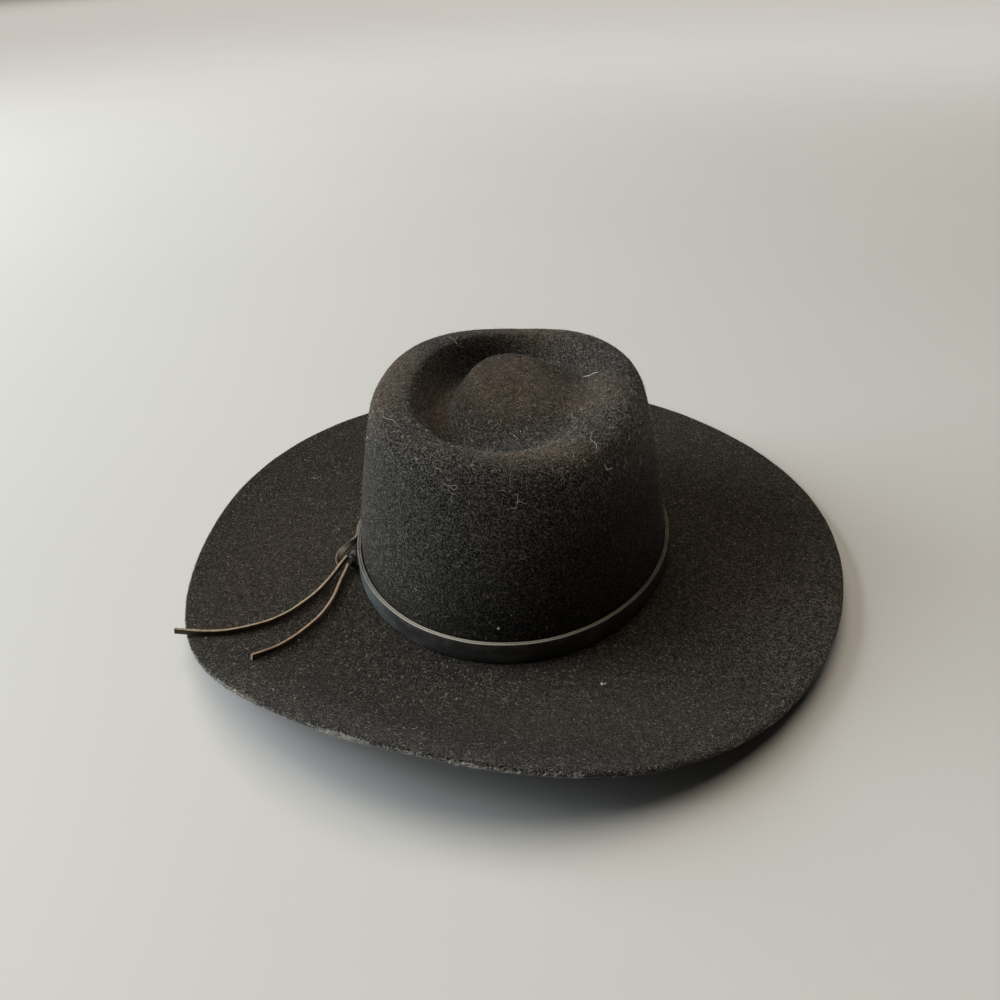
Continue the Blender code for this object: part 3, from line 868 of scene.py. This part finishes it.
def band_piece(face, raw):
    """A leather strip bent round the crown, with pale raw edges along its slightly wavy top."""
    profile = band_profile()
    half_gap = math.degrees(BAND_SPLIT / 2 / HALF_LENGTH)
    points = []
    for step in range(BAND_STEPS + 1):
        turn = math.radians(BAND_SPLIT_ANGLE + half_gap + (360 - 2 * half_gap) * step / BAND_STEPS)
        at, away = foot_point(turn)
        wave = 0.00008 * math.sin(7 * turn) + 0.00006 * math.sin(17 * turn + 1.0)
        for out, height, _ in profile:
            x, y, _ = at + away * out
            points.append((x, y, height + (wave if height > (BAND_LOW + BAND_HIGH) / 2 else 0.0)))
    sides = len(profile)
    faces, marks = [], []
    for r in range(BAND_STEPS):
        for i in range(sides):
            j = (i + 1) % sides
            faces.append((r * sides + i, r * sides + j, (r + 1) * sides + j, (r + 1) * sides + i))
            marks.append(profile[i][2])
    last = BAND_STEPS * sides
    faces.append(tuple(reversed(range(sides))))
    faces.append(tuple(range(last, last + sides)))
    marks += [0, 0]
    obj = new_object("leather_band", points, faces, [face, raw], marks)
    obj.data.set_sharp_from_angle(angle=math.radians(LEATHER_EDGE))
    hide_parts("hat_band")
    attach(obj, "root")


def add_band():
    face = leather_material(
        "black_leather_face",
        (0.0280, 0.0270, 0.0265),
        (0.0850, 0.0820, 0.0800),
        # A painted reflection of the window on the band's left side
        patch=LEFT_BAND_REFLECTION,
        sheen_and_wear_colour=(0.1150, 0.1430, 0.1430),
    )
    raw = raw_edge_material(
        "raw_band_edge", (0.17, 0.155, 0.130), (0.070, 0.064, 0.054), front=(0.42, 0.39, 0.335)
    )
    band_piece(face, raw)


# Thong


def strip_section():
    """The section of the thong on its edge, and the material of each side: grain, raw edge, flesh."""
    section = soft_box(THONG_THICK / 2, THONG_TALL / 2, THONG_CORNER)
    rim = 0.00012
    marks = []
    for x, y in (section + np.roll(section, -1, axis=0)) / 2:
        on_edge = abs(y) > THONG_TALL / 2 - rim
        on_left = x < -THONG_THICK / 2 + rim
        marks.append(1 if on_edge else 2 if on_left else 0)
    return section, marks


def thong_tail(name, route, node, mats):
    """A free end of the thong, standing on its edge and slightly twisted."""
    path = smooth_route(route, 0.0008)
    for _ in range(30):
        path[1:-1] = (path[:-2] + 2 * path[1:-1] + path[2:]) / 4
    section, marks = strip_section()
    share = np.linspace(0, 1, len(path))
    roll = 6 * np.sin(share * 9.0) + 4 * np.sin(share * 23.0 + 1.0)
    obj = sweep(name, path, section, mats, marks, roll=roll)
    obj.data.set_sharp_from_angle(angle=math.radians(LEATHER_EDGE))
    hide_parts(node)
    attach(obj, "root")


def thong_loop(mats):
    """The thong from the band round the knot, turned over where it hooks round the free ends."""
    path = smooth_route(LOOP_ROUTE, 0.0005)
    section, marks = strip_section()
    share = np.linspace(0, 1, len(path))
    roll = 76 * np.clip((share - 0.42) / 0.16, 0, 1) - 30 * np.clip((share - 0.66) / 0.12, 0, 1)
    section = section * np.array([1.0, 1.2])
    obj = sweep("thong_loop", path, section, mats, marks, roll=-roll)
    obj.data.set_sharp_from_angle(angle=math.radians(LEATHER_EDGE))
    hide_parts("tie_loop")
    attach(obj, "root")


def thong_knot(mat):
    """The pulled-up knot: a flat thong along a closed path of three lobes."""
    at, away = foot_point(math.radians(BAND_SPLIT_ANGLE))
    along = np.array([-away[1], away[0], 0.0])
    upward = np.array([0.0, 0.0, 1.0])
    at += away * (BAND_GAP + BAND_THICK + KNOT_GAP + KNOT_DEPTH + KNOT_THONG / 2)
    at += upward * (FELT + KNOT_LIFT + KNOT_ACROSS / 2)
    s = np.arange(KNOT_STEPS)[:, None] * 2 * math.pi / KNOT_STEPS
    scale = (KNOT_ACROSS - KNOT_THONG) / 6
    side = (np.sin(s) + 2 * np.sin(2 * s)) * scale
    rise = (np.cos(s) - 2 * np.cos(2 * s)) * scale
    depth = np.sin(3 * s) * KNOT_DEPTH
    path = at + along * side + upward * rise - away * depth
    wide, thick = KNOT_STRIP
    section = soft_box(wide / 2, thick / 2, THONG_CORNER)
    obj = sweep("thong_knot", path, section, [mat], [0] * len(section), up=tuple(away), closed=True)
    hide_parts("tie_knot")
    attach(obj, "root")


def add_thong():
    grain = leather_material(
        "thong_leather_face", (0.0090, 0.0068, 0.0050), (0.0260, 0.0200, 0.0150), rough=(0.60, 0.75)
    )
    worn = leather_material(
        "worn_thong_face",
        (0.0160, 0.0125, 0.0095),
        (0.0350, 0.0290, 0.0230),
        rough=(0.55, 0.70),
        # Wear and a painted highlight on the loop's bend
        patch=LOOP_BEND_WEAR_AND_HIGHLIGHT,
        sheen_and_wear_colour=(0.2300, 0.2000, 0.1650),
    )
    flesh = raw_edge_material("thong_flesh_side", (0.110, 0.074, 0.046), (0.050, 0.034, 0.022))
    grey = raw_edge_material("grey_raw_edge", (0.19, 0.155, 0.120), (0.100, 0.082, 0.064))
    pale = raw_edge_material("pale_raw_edge", (0.41, 0.325, 0.225), (0.23, 0.172, 0.112))
    tan = raw_edge_material("tan_raw_edge", (0.36, 0.248, 0.158), (0.21, 0.140, 0.088))
    thong_tail("long_thong_tail", LONG_TAIL_ROUTE, "long_tail", [grain, pale, flesh])
    thong_tail("short_thong_tail", SHORT_TAIL_ROUTE, "short_tail", [grain, tan, flesh])
    thong_loop([worn, grey, worn])
    thong_knot(grain)


# Floor and light


def add_floor():
    n = Nodes("pale_floor")
    tone = n.noise(3, 3.0, 0.5)
    colour = n.mix(tone, (0.520, 0.520, 0.515), (0.550, 0.550, 0.545))
    mat = n.finish(colour, 0.6, n.bump(n.noise(40, 3.0), 0.05, 0.002), 0.0, (1, 1, 1), 0.5, 0.3)
    half = 20.0
    points = [(-half, -half, 0), (half, -half, 0), (half, half, 0), (-half, half, 0)]
    floor = new_object("floor", points, [(0, 1, 2, 3)], [mat], smooth=False)


def add_light(name, place, target, size, power, colour):
    data = bpy.data.lights.new(name, "AREA")
    data.shape = "RECTANGLE"
    data.size, data.size_y = size
    data.energy = power
    data.color = colour
    lamp = bpy.data.objects.new(name, data)
    SCENE.collection.objects.link(lamp)
    lamp.location = place
    lamp.rotation_euler = (Vector(target) - Vector(place)).to_track_quat("-Z", "Y").to_euler()
    return lamp


def add_world():
    """A world that glows a little near the horizon and is almost dark above."""
    world = bpy.data.worlds.new("studio")
    world.use_nodes = True
    tree = world.node_tree
    back = tree.nodes["Background"]
    back.inputs["Color"].default_value = (1.0, 0.95, 0.88, 1.0)
    coords = tree.nodes.new("ShaderNodeTexCoord")
    split = tree.nodes.new("ShaderNodeSeparateXYZ")
    glow = tree.nodes.new("ShaderNodeMapRange")
    glow.inputs["From Min"].default_value = 0.12
    glow.inputs["From Max"].default_value = 0.35
    glow.inputs["To Min"].default_value = 0.13
    glow.inputs["To Max"].default_value = 0.01
    tree.links.new(coords.outputs["Generated"], split.inputs[0])
    tree.links.new(split.outputs["Z"], glow.inputs["Value"])
    tree.links.new(glow.outputs["Result"], back.inputs["Strength"])
    SCENE.world = world


def add_ceiling():
    """Soft warm light from above, as from a white ceiling."""
    data = bpy.data.lights.new("ceiling", "SUN")
    data.energy = 1.7
    data.angle = math.radians(48)
    data.color = (1.0, 0.89, 0.74)
    ceiling = bpy.data.objects.new("ceiling", data)
    SCENE.collection.objects.link(ceiling)
    ceiling.rotation_euler = Vector((0.10, -0.26, -1.0)).to_track_quat("-Z", "Y").to_euler()


def add_lights():
    add_world()
    add_light("window", (-2.3, -0.02, 1.35), (0, 0, 0.03), (2.0, 1.9), 98, (0.92, 0.98, 1.0))
    far = add_light("far_floor", (0.4, 5.6, 3.2), (0.4, 5.6, 0.0), (12.0, 8.0), 190, (0.98, 0.99, 1.0))
    far.data.spread = math.radians(60)
    add_ceiling()
    SCENE.view_settings.view_transform = "Standard"
    SCENE.view_settings.look = "None"


def main():
    place_camera()
    add_thong()
    add_band()
    body = felt_piece(felt_material(), cut_edge_material())
    add_fuzz(Surface(body))
    add_floor()
    add_lights()


main()
